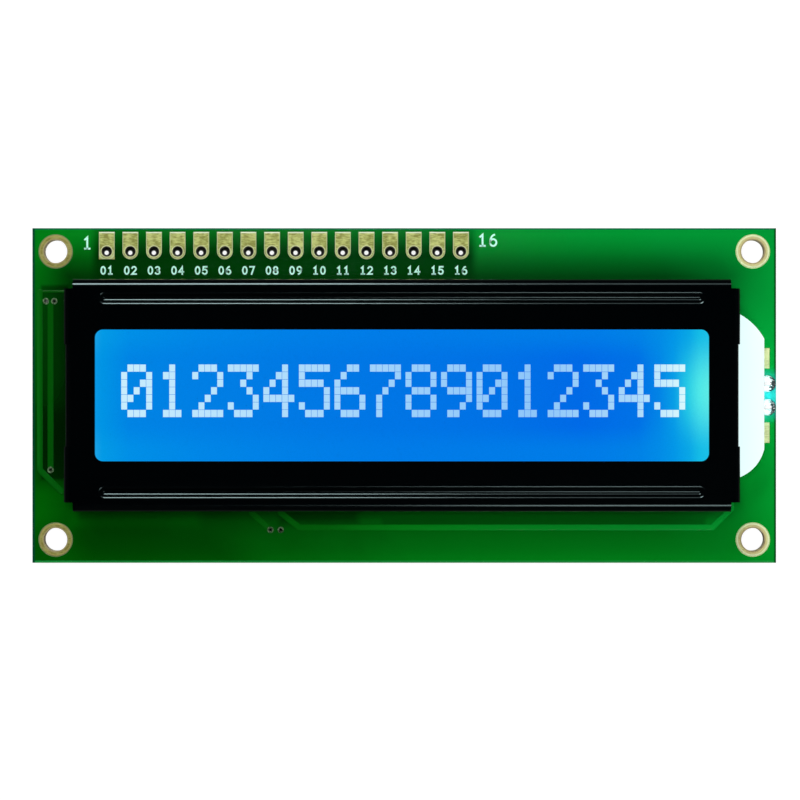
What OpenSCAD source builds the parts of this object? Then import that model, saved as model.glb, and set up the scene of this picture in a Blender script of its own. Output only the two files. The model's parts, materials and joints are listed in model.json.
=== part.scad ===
// Character LCD module: one line of sixteen characters on a pinned circuit board,
// a layered glass cell lit from one side, and a folded steel bezel that clamps it all.
// The origin is the centre of the four mounting holes, on the board's rear face.
// +X runs along the display, +Y towards the row of pin holes, +Z out of the display.

/* [Board] */
// Length of the circuit board
board_l = 80; // [70:0.5:100]
// Width of the circuit board
board_w = 36; // [32:0.5:44]
// Thickness of the circuit board
board_t = 1.6; // [0.8:0.1:2.4]
// Thickness of the plated copper
copper_t = 0.05; // [0.03:0.01:0.08]

/* [Mounting holes] */
// Distance from the board's edges to the centres of the mounting holes
mount_edge = 2.5; // [2.3:0.05:3]
// Bore of a mounting hole
mount_hole_d = 2.5; // [2:0.1:2.7]
// Width of the plated land round a mounting hole
mount_land = 0.5; // [0.3:0.05:0.6]

/* [Pin holes] */
// Number of pin holes
pin_count = 16; // [4:1:20]
// Distance from one pin hole to the next
pin_pitch = 2.54; // [2:0.01:3]
// Bore of a pin hole
pin_hole_d = 1; // [0.7:0.05:1.2]
// Width of a pin's plated pad
pad_w = 1.7; // [1.5:0.05:1.8]
// Distance from a pin hole's centre to the outer end of its pad
pad_reach = 2.1; // [1:0.05:2.25]
// Distance from the board's upper edge to the pin holes
pin_edge = 2.5; // [2.3:0.05:3]
// Distance from the board's left edge to the first pin hole
pin_side = 8; // [6:0.1:10]

/* [Tracks] */
// Width of the two wide tracks beside the display
rail_w = 0.65; // [0.4:0.05:0.7]
// Width of the thin tracks
track_w = 0.3; // [0.2:0.05:0.4]
// Distance from the board's left edge to the outer wide track
rail_edge = 0.8; // [0.6:0.05:1]
// Distance between the two wide tracks
rail_pitch = 1.15; // [1:0.05:1.3]
// Distance from the board's lower edge to the long track
long_track_edge = 3.8; // [3:0.1:4.2]
// Distance from the board's left edge to the pair of vias below the display
via_side = 26.15; // [20:0.05:30]
// Bore of a via
via_d = 0.36; // [0.25:0.02:0.4]
// Width of the plated land round a via
via_land = 0.17; // [0.1:0.01:0.2]

/* [Bezel] */
// Distance from the board's left edge to the bezel
bezel_left = 4; // [3.6:0.05:5]
// Distance from the board's right edge to the bezel
bezel_right = 4.5; // [4:0.05:6]
// Distance from the board's long edges to the bezel
bezel_edge = 5.7; // [5.5:0.05:6.2]
// Thickness of the bezel's steel sheet
sheet_t = 0.5; // [0.3:0.05:0.6]
// Inside radius of the bezel's folds
fold_r = 0.3; // [0.1:0.05:0.5]
// Room left at each corner between two folds
corner_relief = 0.2; // [0.1:0.05:0.5]
// Width of the bezel's face at each end of the window
frame_end = 3.35; // [2.6:0.05:6]
// Width of the bezel's face along each long side of the window
frame_side = 5.35; // [4.4:0.05:6.5]
// Corner radius of the window
window_r = 0.85; // [0.3:0.05:2]
// Distance from the end of the window to the end of a pressed groove
groove_inset = 0.3; // [0:0.05:6]
// Width of the pressed grooves, from lip to lip
groove_w = 1.4; // [1:0.05:1.6]
// Radius of a groove's rounded lips
groove_lip = 0.45; // [0.1:0.05:0.5]
// Length of the shallow dent in each short wall
dent_l = 10.8; // [6:0.1:16]
// Depth of the dents
dent_depth = 0.15; // [0.05:0.01:0.25]
// Room between a short wall and the ear that passes under it
wall_gap = 0.25; // [0.1:0.05:0.6]
// Room between a long wall and the board
seat_gap = 0.1; // [0.09:0.01:0.3]

/* [Bezel tabs] */
// Number of tabs along each long wall
tab_count = 4; // [2:1:5]
// Width of a tab
tab_w = 2; // [1.4:0.1:2.4]
// Length of a tab below the board
tab_l = 1.2; // [0.6:0.1:1.4]
// Angle that a tab is twisted by, in degrees
tab_twist = 35; // [15:1:45]
// Distance from the end of a long wall to the middle of its first tab
tab_inset = 3.4; // [2:0.1:6]
// Room round a tab in its slot
slot_gap = 0.15; // [0.1:0.01:0.25]

/* [Glass cell] */
// Thickness of each sheet of glass
glass_t = 1.1; // [0.5:0.05:1.3]
// Distance between the two sheets of glass
cell_gap = 0.1; // [0.05:0.01:0.2]
// Room between the front glass and the bezel's walls
cell_clear = 0.4; // [0.28:0.01:0.5]
// Width of the contact ledge along each long side of the front glass
ledge_w = 2.3; // [2.1:0.05:2.5]
// Width of the seal between the two sheets of glass
seal_w = 0.8; // [0.4:0.05:0.9]
// Width of the filling port in the seal
port_w = 3; // [2:0.1:5]
// Thickness of each polarizer
polarizer_t = 0.25; // [0.15:0.01:0.35]
// Distance from the edge of the rear glass to the edge of a polarizer
polarizer_inset = 0.5; // [0.2:0.05:0.8]
// Room between the front polarizer and the bezel's face
face_gap = 0.1; // [0.05:0.01:0.2]

/* [Zebra strips] */
// Width of a zebra strip
strip_w = 2; // [1.4:0.05:2.05]
// Distance from the end of the glass to the end of a strip
strip_end = 1.6; // [0.5:0.1:4]
// Distance from one contact finger to the next
finger_pitch = 1.2; // [0.9:0.05:2]
// Width of a contact finger
finger_w = 0.6; // [0.3:0.05:0.7]

/* [Backlight] */
// Thickness of the light guide
guide_t = 3.2; // [2.4:0.1:4]
// Room between the light guide and the zebra strips
guide_gap = 0.4; // [0.2:0.05:0.8]
// Distance from the end of the glass to the plain end of the light guide
guide_end = 0.6; // [0.2:0.05:1.2]
// Distance from the board's right edge to the end of the light guide's ear
ear_edge = 1.65; // [1.5:0.05:2.2]
// Length of the ear's curved corners along the display
ear_run = 3; // [2:0.1:3.2]
// Length of the upper curved corner along the ear's end
ear_upper_drop = 2.8; // [1.5:0.1:3.2]
// Length of the lower curved corner along the ear's end
ear_lower_drop = 3.15; // [1.5:0.05:3.2]
// Radius of the upper curved corner
ear_upper_r = 6.5; // [3.5:0.1:9]
// Radius of the lower curved corner
ear_lower_r = 4.3; // [3.5:0.1:9]
// Thickness of the reflector film
reflector_t = 0.15; // [0.09:0.01:0.3]
// Thickness of the diffuser film
diffuser_t = 0.25; // [0.1:0.01:0.4]
// Thickness of the white film over the ear
ear_film_t = 0.15; // [0.05:0.01:0.2]
// Distance between the edges of two films that lie side by side
film_gap = 0.3; // [0.1:0.05:0.6]

/* [Lamp] */
// Width of the pocket for the lamp in the end of the ear
pocket_w = 7; // [6:0.1:8]
// Depth of the pocket
pocket_d = 1.6; // [1.4:0.05:2]
// Room between the lamp and its pocket
lamp_gap = 0.1; // [0.05:0.01:0.2]
// Thickness of a light-emitting chip
chip_t = 0.25; // [0.15:0.01:0.4]
// Width of a light-emitting chip
chip_w = 1.3; // [0.8:0.05:1.6]
// Distance between the two leads
lead_pitch = 2.54; // [2.2:0.01:3.2]
// Diameter of a lead
lead_d = 0.5; // [0.4:0.02:0.6]
// Distance from the board's right edge to the leads
lead_edge = 0.95; // [0.92:0.01:1.1]
// Room round a lead in its hole
lead_gap = 0.15; // [0.1:0.01:0.2]
// Diameter of a solder joint on the board
joint_d = 1.8; // [1.5:0.05:1.84]
// Length of a lead behind the board
lead_tail = 0.9; // [0.6:0.05:1.3]
// Length of a spare lamp pad
spare_pad_l = 2.3; // [1.5:0.1:2.4]
// Width of a spare lamp pad
spare_pad_w = 2.2; // [1.5:0.1:2.4]
// Distance between the two spare lamp pads
spare_pad_pitch = 8; // [7.4:0.1:9]
// Distance from the board's right edge to the spare lamp pads
spare_pad_edge = 0.7; // [0.5:0.05:0.9]

/* [Chip covers] */
// Diameter of the resin cover on the controller chip
controller_d = 14; // [11:0.5:15]
// Diameter of the resin cover on the driver chip
driver_d = 12; // [10:0.5:14]
// Height of both covers
cover_h = 1.7; // [1.5:0.05:2.4]
// Diameter of the flat top of a cover, as a part of its own diameter
cover_flat = 0.5; // [0.3:0.01:0.6]
// Distance between the two covers along the board
cover_pitch_x = 34; // [28:0.5:36]
// Distance between the two covers across the board
cover_pitch_y = 3; // [0:0.5:4]

/* [Rear components] */
// Number of resistors
resistor_count = 5; // [2:1:6]
// Distance from one resistor to the next
resistor_pitch = 3.2; // [2:0.1:3.6]
// Number of capacitors
capacitor_count = 2; // [1:1:3]
// Distance from one capacitor to the next
capacitor_pitch = 3.6; // [2.4:0.1:4]
// Length of a resistor or capacitor
chip_part_l = 2; // [1.6:0.05:2.4]
// Width of a resistor or capacitor
chip_part_w = 1.25; // [0.8:0.05:1.5]
// Height of a resistor
resistor_h = 0.5; // [0.35:0.05:0.7]
// Height of a capacitor
capacitor_h = 0.85; // [0.6:0.05:1.2]
// Length of each metal end of a resistor or capacitor
end_cap_l = 0.35; // [0.2:0.05:0.5]
// Distance from the board's centre line to the resistors
resistor_y = 7.6; // [6:0.1:8]
// Distance from the board's centre line to the capacitors
capacitor_y = 0.5; // [-2:0.1:3]

/* [Hidden] */
$fn = 48;
past = 1; // how far a cutting shape runs past the face that it cuts

// Heights of the stack, from the board up
copper_top = board_t + copper_t;
guide_z = board_t + reflector_t;
guide_top = guide_z + guide_t;
diffuser_top = guide_top + diffuser_t;
rear_glass_z = diffuser_top + polarizer_t;
seal_z = rear_glass_z + glass_t;
front_glass_z = seal_z + cell_gap;
front_glass_top = front_glass_z + glass_t;
bezel_inside = front_glass_top + polarizer_t + face_gap;
bezel_top = bezel_inside + sheet_t;

// Board edges, and the bezel between them
board_end = board_l / 2;
board_side = board_w / 2;
bezel_l = board_l - bezel_left - bezel_right;
bezel_w = board_w - 2 * bezel_edge;
bezel_end = bezel_l / 2;
bezel_side = bezel_w / 2;
display_x = (bezel_left - bezel_right) / 2;
window_l = bezel_l - 2 * frame_end;
window_w = bezel_w - 2 * frame_side;
groove_l = window_l - 2 * groove_inset;

// Plan of the display, from the bezel's walls inwards
glass_end = bezel_end - sheet_t - cell_clear;
front_glass_side = bezel_side - sheet_t - cell_clear;
rear_glass_side = front_glass_side - ledge_w;
strip_y = front_glass_side - ledge_w / 2;
guide_side = strip_y - strip_w / 2 - guide_gap;
polarizer_end = glass_end - polarizer_inset;
polarizer_side = rear_glass_side - polarizer_inset;
strip_l = 2 * (glass_end - strip_end);
finger_count = floor((strip_l - finger_w) / finger_pitch) + 1;

// Bezel folds, walls, grooves and tabs
fold_out = fold_r + sheet_t;
corner_cut = fold_out + corner_relief;
long_wall_l = bezel_l - 2 * corner_cut;
short_wall_l = bezel_w - 2 * corner_cut;
long_wall_drop = bezel_top - board_t - seat_gap;
short_wall_drop = bezel_top - guide_top - ear_film_t - wall_gap;
groove_depth = polarizer_t + face_gap;
// radius of a groove's floor, which meets its lips smoothly
groove_r = (pow(groove_w / 2, 2) + pow(groove_depth, 2)) / (2 * groove_depth) - groove_lip;
tab_y = bezel_side - sheet_t / 2;
tab_pitch = (long_wall_l - 2 * tab_inset) / (tab_count - 1);

// What is placed from the board's edges
pin_y = board_side - pin_edge;
pin_x = -board_end + pin_side;
rail_x = -board_end + rail_edge;
rail_top = strip_y + 0.95;
rail_foot = -strip_y + 2.25;
via_y = strip_y - 0.1;
long_track_y = -board_side + long_track_edge;
long_track_end = board_end - bezel_right - 0.35;
via_x = -board_end + via_side;
via_gap = 0.55; // half the distance between the pair of vias
ear_x = board_end - ear_edge;
lead_x = board_end - lead_edge;
diffuser_end = display_x + glass_end - film_gap;

// Vias, as places on the board
VIAS = [
    [rail_x + rail_w, via_y],
    [rail_x + rail_w + 0.9, via_y],
    [rail_x + rail_pitch, rail_foot],
    [via_x - via_gap, long_track_y - 0.25],
    [via_x + via_gap, long_track_y - 0.25],
];

// Lamp, between the solder joints below it and the film above it
joint_h = joint_d / 2;
lamp_z = copper_top + joint_h + 0.15;
lamp_back = ear_x - pocket_d + lamp_gap + chip_t;
lead_z = (lamp_z + guide_top) / 2;
lead_hole_d = lead_d + 2 * lead_gap;

// ---------- Shared shapes ----------

// A slab centred on the display, from z up to z + t
module display_slab(end, side, z, t) {
    translate([display_x - end, -side, z])
        cube([2 * end, 2 * side, t]);
}

// A copy at each mounting hole
module at_mounts() {
    for (x = [-1, 1], y = [-1, 1])
        translate([x * (board_end - mount_edge), y * (board_side - mount_edge), 0])
            children();
}

// A copy at pin hole number i, counted from 0
module at_pin(i) {
    translate([pin_x + i * pin_pitch, pin_y, 0])
        children();
}

// A copy at each lamp lead
module at_leads() {
    for (y = [-1, 1])
        translate([lead_x, y * lead_pitch / 2, 0])
            children();
}

// A copy at each bezel tab
module at_tabs() {
    for (y = [-1, 1], i = [0:tab_count - 1])
        translate([display_x - long_wall_l / 2 + tab_inset + i * tab_pitch, y * tab_y, 0])
            children();
}

// A bore through the board that a plated barrel of inside diameter d lines
module drilled(d) {
    translate([0, 0, -past])
        cylinder(h = board_t + 2 * past, d = d + 2 * copper_t);
}

// A plated hole: a land on both faces of the board, joined by a barrel with bore d
module plated_hole(d) {
    difference() {
        union() {
            translate([0, 0, board_t])
                linear_extrude(copper_t) children();
            translate([0, 0, -copper_t])
                linear_extrude(copper_t) children();
            translate([0, 0, -copper_t])
                cylinder(h = board_t + 2 * copper_t, d = d + 2 * copper_t);
        }
        translate([0, 0, -past])
            cylinder(h = board_t + 2 * past, d = d);
    }
}

// A flat track through points, with round corners, on the board's front face
module track(points, w) {
    translate([0, 0, board_t]) {
        for (i = [0:len(points) - 2]) {
            run = points[i + 1] - points[i];
            translate(points[i])
                rotate(atan2(run[1], run[0]))
                    translate([0, -w / 2, 0])
                        cube([norm(run), w, copper_t]);
        }
        for (p = points)
            translate(p)
                cylinder(h = copper_t, d = w);
    }
}

// ---------- Circuit board ----------

// Glass-fibre board, drilled and slotted
module circuit_board() {
    color("darkgreen")
    difference() {
        translate([-board_end, -board_side, 0])
            cube([board_l, board_w, board_t]);
        at_mounts() drilled(mount_hole_d);
        for (i = [0:pin_count - 1])
            at_pin(i) drilled(pin_hole_d);
        for (p = VIAS)
            translate(p) drilled(via_d);
        at_leads() drilled(lead_hole_d);
        at_tabs()
            translate([-tab_w / 2 - slot_gap, -sheet_t / 2 - slot_gap, -past])
                cube([tab_w + 2 * slot_gap, sheet_t + 2 * slot_gap, board_t + 2 * past]);
    }
}

// Copper tracks that stand up under the solder mask beside and below the display
module front_tracks() {
    inner_x = rail_x + rail_pitch;
    slant = 2; // reach of a slanting stretch
    color("forestgreen")
    difference() {
        union() {
            // outer rail, with its branch towards the display
            track([[-bezel_end + 0.6, rail_top], [rail_x, rail_top]], track_w);
            track([[rail_x, rail_top], [rail_x, rail_foot], [rail_x + 2.3, rail_foot - 2.3]], rail_w);
            // inner rail, from its via down
            track([[inner_x, via_y - 0.2], [inner_x, rail_foot]], rail_w);
            // long track below the display, from under the bezel and back under it
            track([
                [via_x + via_gap, -bezel_side + 0.4], [via_x + via_gap, -bezel_side - 0.3],
                [via_x + via_gap + slant, long_track_y], [long_track_end - slant, long_track_y],
                [long_track_end, long_track_y + slant], [long_track_end, -bezel_side + 2.4],
            ], rail_w);
            // short track to the left via of the pair
            track([
                [VIAS[3][0] - slant, -bezel_side + 0.4], [VIAS[3][0] - slant, -bezel_side - 0.3],
                VIAS[3],
            ], rail_w);
        }
        for (p = VIAS)
            translate(p) translate([0, 0, board_t - past])
                cylinder(h = 2 * past, d = via_d + 2 * via_land);
    }
}

// Gold-plated lands and barrels of the four mounting holes
module mounting_hole_plating() {
    color("goldenrod")
    at_mounts()
        plated_hole(mount_hole_d)
            circle(d = mount_hole_d + 2 * mount_land);
}

// Gold-plated pads and barrels of the pin holes, square at pin 1 and round-ended after it
module pin_hole_plating() {
    color("goldenrod")
    for (i = [0:pin_count - 1])
        at_pin(i)
            plated_hole(pin_hole_d)
                union() {
                    translate([-pad_w / 2, i == 0 ? -pad_w / 2 : 0])
                        square([pad_w, pad_reach + (i == 0 ? pad_w / 2 : 0)]);
                    circle(d = pad_w);
                }
}

// Plated barrels that join tracks on the two faces
module via_plating() {
    color("olivedrab")
    for (p = VIAS)
        translate(p)
            plated_hole(via_d)
                circle(d = via_d + 2 * via_land);
}

// Two rows of gold fingers that the zebra strips press on
module contact_fingers() {
    finger_l = strip_w + 0.2;
    color("goldenrod")
    for (side = [-1, 1], i = [0:finger_count - 1])
        translate([
            display_x + (i - (finger_count - 1) / 2) * finger_pitch - finger_w / 2,
            side * strip_y - finger_l / 2,
            board_t,
        ])
            cube([finger_w, finger_l, copper_t]);
}

// Two bare pads for another kind of lamp, half under the ear
module spare_lamp_pads() {
    color("khaki")
    for (y = [-1, 1])
        translate([
            board_end - spare_pad_edge - spare_pad_l,
            y * spare_pad_pitch / 2 - spare_pad_w / 2,
            board_t,
        ])
            cube([spare_pad_l, spare_pad_w, copper_t]);
}

// Plated holes for the lamp's two leads
module lead_hole_plating() {
    color("silver")
    at_leads()
        plated_hole(lead_hole_d)
            circle(d = joint_d);
}

// ---------- Backlight ----------

// What is cut from an upper corner at the origin, outside an arc of radius r that starts
// drop below the corner and ends ear_run to the left of it
module curved_corner(drop, r) {
    chord = sqrt(pow(ear_run, 2) + pow(drop, 2));
    back = sqrt(pow(r, 2) - pow(chord / 2, 2)); // from the chord to the arc's centre
    centre_x = -ear_run / 2 - back * drop / chord;
    centre_y = -drop / 2 - back * ear_run / chord;
    translate([centre_x, centre_y])
        difference() {
            square([past - centre_x, past - centre_y]);
            circle(r = r, $fn = 96);
        }
}

// Outline of the light guide: a plate whose ear runs out under the bezel's right wall
module guide_outline() {
    left = display_x - glass_end + guide_end;
    difference() {
        translate([left, -guide_side])
            square([ear_x - left, 2 * guide_side]);
        translate([ear_x, guide_side])
            curved_corner(ear_upper_drop, ear_upper_r);
        translate([ear_x, -guide_side])
            mirror([0, 1]) curved_corner(ear_lower_drop, ear_lower_r);
    }
}

// White film under the light guide
module reflector_film() {
    left = display_x - glass_end + guide_end;
    color("white")
    translate([left, -guide_side, board_t])
        cube([diffuser_end - left, 2 * guide_side, reflector_t]);
}

// Clear plate that spreads the lamp's light, with a pocket for the lamp in its ear
module light_guide() {
    color("azure")
    translate([0, 0, guide_z])
        linear_extrude(guide_t)
            difference() {
                guide_outline();
                translate([ear_x - pocket_d, -pocket_w / 2])
                    square([pocket_d + past, pocket_w]);
            }
}

// White film over the ear, up to the edge of the diffuser
module ear_film() {
    left = diffuser_end + film_gap;
    color("white")
    translate([0, 0, guide_top])
        linear_extrude(ear_film_t)
            intersection() {
                guide_outline();
                translate([left, -guide_side])
                    square([ear_x - left, 2 * guide_side]);
            }
}

// Moulded body of the lamp, open towards the light guide
module lamp_body() {
    w = pocket_w - 2 * lamp_gap;
    color("ivory")
    translate([lamp_back, -w / 2, lamp_z])
        cube([ear_x - lamp_back, w, guide_top - lamp_z]);
}

// Two light-emitting chips on the lamp's inner face
module lamp_chips() {
    h = (guide_top - lamp_z) * 0.6;
    color("gold")
    for (y = [-1, 1])
        translate([lamp_back - chip_t, y * pocket_w / 4 - chip_w / 2, lead_z - h / 2])
            cube([chip_t, chip_w, h]);
}

// Two wires that leave the lamp, turn down and pass through the board
module lamp_leads() {
    color("silver")
    at_leads() {
        translate([ear_x - lead_x, 0, lead_z])
            rotate([0, 90, 0])
                cylinder(h = lead_x - ear_x, d = lead_d);
        translate([0, 0, lead_z])
            sphere(d = lead_d);
        translate([0, 0, -lead_tail])
            cylinder(h = lead_z + lead_tail, d = lead_d);
    }
}

// Solder domes on both faces of the board, one on each end of each lead hole
module lead_solder() {
    rear_h = min(joint_h, lead_tail - copper_t);
    color("gainsboro")
    at_leads()
        difference() {
            union() {
                translate([0, 0, copper_top])
                    intersection() {
                        sphere(d = joint_d);
                        cylinder(h = joint_h, d = joint_d);
                    }
                translate([0, 0, -copper_t - rear_h * 0.8])
                    cylinder(h = rear_h * 0.8, d1 = lead_d + 0.2, d2 = joint_d * 0.9);
            }
            translate([0, 0, -past - lead_tail])
                cylinder(h = lead_z + lead_tail + 2 * past, d = lead_d);
        }
}

// Matt film between the light guide and the cell
module diffuser_film() {
    left = display_x - glass_end + guide_end;
    color("whitesmoke")
    translate([left, -guide_side, guide_top])
        cube([diffuser_end - left, 2 * guide_side, diffuser_t]);
}

// ---------- Glass cell ----------

// Polarizing film behind the cell
module rear_polarizer() {
    color("darkslateblue")
    display_slab(polarizer_end, polarizer_side, diffuser_top, polarizer_t);
}

// Rear sheet of glass
module rear_glass() {
    color("lightcyan")
    display_slab(glass_end, rear_glass_side, rear_glass_z, glass_t);
}

// Epoxy seal round the liquid crystal, with its filling port at the left end
module cell_seal() {
    color("gray")
    difference() {
        display_slab(glass_end, rear_glass_side, seal_z, cell_gap);
        display_slab(glass_end - seal_w, rear_glass_side - seal_w, seal_z - past, cell_gap + 2 * past);
        translate([display_x - glass_end - past, -port_w / 2, seal_z - past])
            cube([seal_w + 2 * past, port_w, cell_gap + 2 * past]);
    }
}

// Resin that closes the filling port
module port_plug() {
    color("dimgray")
    translate([display_x - glass_end, -port_w / 2, seal_z])
        cube([seal_w, port_w, cell_gap]);
}

// Liquid crystal between the sheets of glass
module liquid_crystal() {
    color("royalblue")
    display_slab(glass_end - seal_w, rear_glass_side - seal_w, seal_z, cell_gap);
}

// Front sheet of glass, wider than the rear one by a contact ledge on each long side
module front_glass() {
    color("lightcyan")
    display_slab(glass_end, front_glass_side, front_glass_z, glass_t);
}

// Polarizing film on the face of the display
module front_polarizer() {
    color("dodgerblue")
    display_slab(polarizer_end, polarizer_side, front_glass_top, polarizer_t);
}

// Strip of layered rubber that joins a row of fingers to a ledge of the front glass
module zebra_strip(side) {
    translate([display_x - strip_l / 2, side * strip_y - strip_w / 2, copper_top])
        cube([strip_l, strip_w, front_glass_z - copper_top]);
}

module upper_zebra_strip() {
    color("lightsteelblue") zebra_strip(1);
}

module lower_zebra_strip() {
    color("lightsteelblue") zebra_strip(-1);
}

// ---------- Bezel ----------

// Section of a folded wall: its outer face is at x = 0 and its top at y = 0
module wall_section(drop) {
    translate([-sheet_t, -drop])
        square([sheet_t, drop - fold_out]);
    translate([-fold_out, -fold_out])
        intersection() {
            square(fold_out);
            difference() {
                circle(r = fold_out);
                circle(r = fold_r);
            }
        }
}

// A folded wall of length l along Y, with its outer face at x = 0 and its top at z = 0
module wall(l, drop) {
    translate([0, l / 2, 0])
        rotate([90, 0, 0])
            linear_extrude(l) wall_section(drop);
}

// Half of a groove's section from its middle outwards, cut from a face at y = 0:
// a hollow floor, and a round lip that brings it up to the face
module groove_section() {
    floor_x = groove_w / 2 * groove_r / (groove_r + groove_lip);
    lip_z = (groove_r - groove_depth) - sqrt(pow(groove_r, 2) - pow(floor_x, 2));
    intersection() {
        translate([0, groove_r - groove_depth])
            circle(r = groove_r);
        translate([0, -groove_depth])
            square([floor_x, groove_depth + lip_z]);
    }
    translate([0, lip_z])
        square([floor_x, past]);
    difference() {
        translate([floor_x, lip_z])
            square([groove_w / 2 - floor_x, past]);
        translate([groove_w / 2, -groove_lip])
            circle(r = groove_lip);
    }
}

// What the press pushes out of the face: a straight groove with round ends
module groove_cut() {
    run = groove_l - groove_w;
    translate([-run / 2, 0, 0])
        rotate([90, 0, 90])
            linear_extrude(run) {
                groove_section();
                mirror([1, 0]) groove_section();
            }
    for (x = [-1, 1])
        translate([x * run / 2, 0, 0])
            rotate_extrude() groove_section();
}

// A groove's back: a rod with round ends that lies along X
module groove_rod(r) {
    run = groove_l - groove_w;
    translate([-run / 2, 0, groove_r - groove_depth]) {
        rotate([0, 90, 0])
            cylinder(h = run, r = r);
        sphere(r = r);
        translate([run, 0, 0])
            sphere(r = r);
    }
}

// One tab: a straight neck in the board's slot and a twisted end behind the board
module tab() {
    translate([-tab_w / 2, -sheet_t / 2, 0])
        cube([tab_w, sheet_t, board_t + seat_gap]);
    mirror([0, 0, 1])
        linear_extrude(tab_l, twist = tab_twist, slices = 4, $fn = 4)
            square([tab_w, sheet_t], center = true);
}

// Outline of the window, a rectangle with round corners
module window_outline() {
    x = window_l / 2 - window_r;
    y = window_w / 2 - window_r;
    square([window_l, 2 * y], center = true);
    square([2 * x, window_w], center = true);
    for (i = [-1, 1], j = [-1, 1])
        translate([i * x, j * y])
            circle(r = window_r);
}

// Steel bezel, punched and folded from one sheet, held by its twisted tabs
module bezel() {
    side_wall_l = (short_wall_l - dent_l) / 2;
    color("black")
    union() {
        translate([display_x, 0, bezel_top])
            difference() {
                union() {
                    // face, as far as the folds
                    translate([-long_wall_l / 2, -bezel_side + fold_out, -sheet_t])
                        cube([long_wall_l, bezel_w - 2 * fold_out, sheet_t]);
                    translate([-bezel_end + fold_out, -short_wall_l / 2, -sheet_t])
                        cube([bezel_l - 2 * fold_out, short_wall_l, sheet_t]);
                    // long walls
                    for (turn = [90, -90])
                        rotate(turn)
                            translate([bezel_side, 0, 0])
                                wall(long_wall_l, long_wall_drop);
                    // short walls, in three lengths with the dent in the middle
                    for (turn = [0, 180])
                        rotate(turn)
                            translate([bezel_end, 0, 0]) {
                                for (y = [-1, 1])
                                    translate([0, y * (dent_l + side_wall_l) / 2, 0])
                                        wall(side_wall_l, short_wall_drop);
                                translate([-dent_depth, 0, 0])
                                    wall(dent_l, short_wall_drop);
                            }
                    // the grooves' backs, which press the glass on the zebra strips
                    for (y = [-1, 1])
                        translate([0, y * strip_y, 0])
                            intersection() {
                                groove_rod(groove_r + sheet_t);
                                translate([-bezel_end, -groove_w, -sheet_t - groove_depth])
                                    cube([bezel_l, 2 * groove_w, groove_depth + sheet_t / 2]);
                            }
                }
                for (y = [-1, 1])
                    translate([0, y * strip_y, 0])
                        groove_cut();
                translate([0, 0, -sheet_t - past])
                    linear_extrude(sheet_t + 2 * past) window_outline();
            }
        at_tabs() tab();
    }
}

// ---------- Rear of the board ----------

// A resin dome behind the board, with a flat top that the module can stand on
module resin_cover(d) {
    flat_r = d * cover_flat / 2;
    // radius of the ball that passes through the dome's rim and the rim of its flat
    rise = (pow(d / 2, 2) - pow(flat_r, 2) + pow(cover_h, 2)) / (2 * cover_h);
    ball_r = sqrt(pow(d / 2, 2) + pow(rise - cover_h, 2));
    translate([0, 0, -cover_h])
        intersection() {
            translate([0, 0, rise])
                sphere(r = ball_r, $fn = 96);
            cylinder(h = cover_h, d = d + past);
        }
}

module controller_cover() {
    color([0.06, 0.06, 0.06])
    translate([display_x - cover_pitch_x / 2, -cover_pitch_y / 2, 0])
        resin_cover(controller_d);
}

module driver_cover() {
    color([0.06, 0.06, 0.06])
    translate([display_x + cover_pitch_x / 2, cover_pitch_y / 2, 0])
        resin_cover(driver_d);
}

// A copy at each resistor, with the component's base at z = 0 and its top towards -Z
module at_resistors() {
    for (i = [0:resistor_count - 1])
        translate([display_x + (i - (resistor_count - 1) / 2) * resistor_pitch, resistor_y, -copper_t])
            rotate([180, 0, 90])
                children();
}

// A copy at each capacitor
module at_capacitors() {
    for (i = [0:capacitor_count - 1])
        translate([display_x, capacitor_y + (i - (capacitor_count - 1) / 2) * capacitor_pitch, -copper_t])
            rotate([180, 0, 0])
                children();
}

// Body of a chip component between its metal ends
module chip_body(h) {
    l = chip_part_l - 2 * end_cap_l;
    translate([-l / 2, -chip_part_w / 2, 0])
        cube([l, chip_part_w, h]);
}

// Metal ends of a chip component
module chip_ends(h) {
    for (side = [0, 180])
        rotate(side)
            translate([chip_part_l / 2 - end_cap_l, -chip_part_w / 2, 0])
                cube([end_cap_l, chip_part_w, h]);
}

// Lands of a chip component and the solder that climbs its ends
module chip_solder(h) {
    reach = 0.6;
    for (side = [0, 180])
        rotate(side)
            translate([chip_part_l / 2, -chip_part_w / 2, 0]) {
                translate([-end_cap_l, 0, -copper_t])
                    cube([end_cap_l + reach, chip_part_w, copper_t]);
                rotate([-90, 0, 0])
                    mirror([0, 1, 0])
                        linear_extrude(chip_part_w)
                            difference() {
                                square([reach, h * 0.8]);
                                translate([reach, h * 0.8])
                                    scale([reach / (h * 0.8), 1])
                                        circle(r = h * 0.8);
                            }
            }
}

module resistor_bodies() {
    color("black") at_resistors() chip_body(resistor_h);
}

module capacitor_bodies() {
    color("tan") at_capacitors() chip_body(capacitor_h);
}

module component_ends() {
    color("silver") {
        at_resistors() chip_ends(resistor_h);
        at_capacitors() chip_ends(capacitor_h);
    }
}

module component_solder() {
    color("gainsboro") {
        at_resistors() chip_solder(resistor_h);
        at_capacitors() chip_solder(capacitor_h);
    }
}

circuit_board();
front_tracks();
mounting_hole_plating();
pin_hole_plating();
via_plating();
contact_fingers();
spare_lamp_pads();
lead_hole_plating();
reflector_film();
light_guide();
ear_film();
lamp_body();
lamp_chips();
lamp_leads();
lead_solder();
diffuser_film();
rear_polarizer();
rear_glass();
cell_seal();
port_plug();
liquid_crystal();
front_glass();
front_polarizer();
upper_zebra_strip();
lower_zebra_strip();
bezel();
controller_cover();
driver_cover();
resistor_bodies();
capacitor_bodies();
component_ends();
component_solder();
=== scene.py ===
import json

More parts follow.
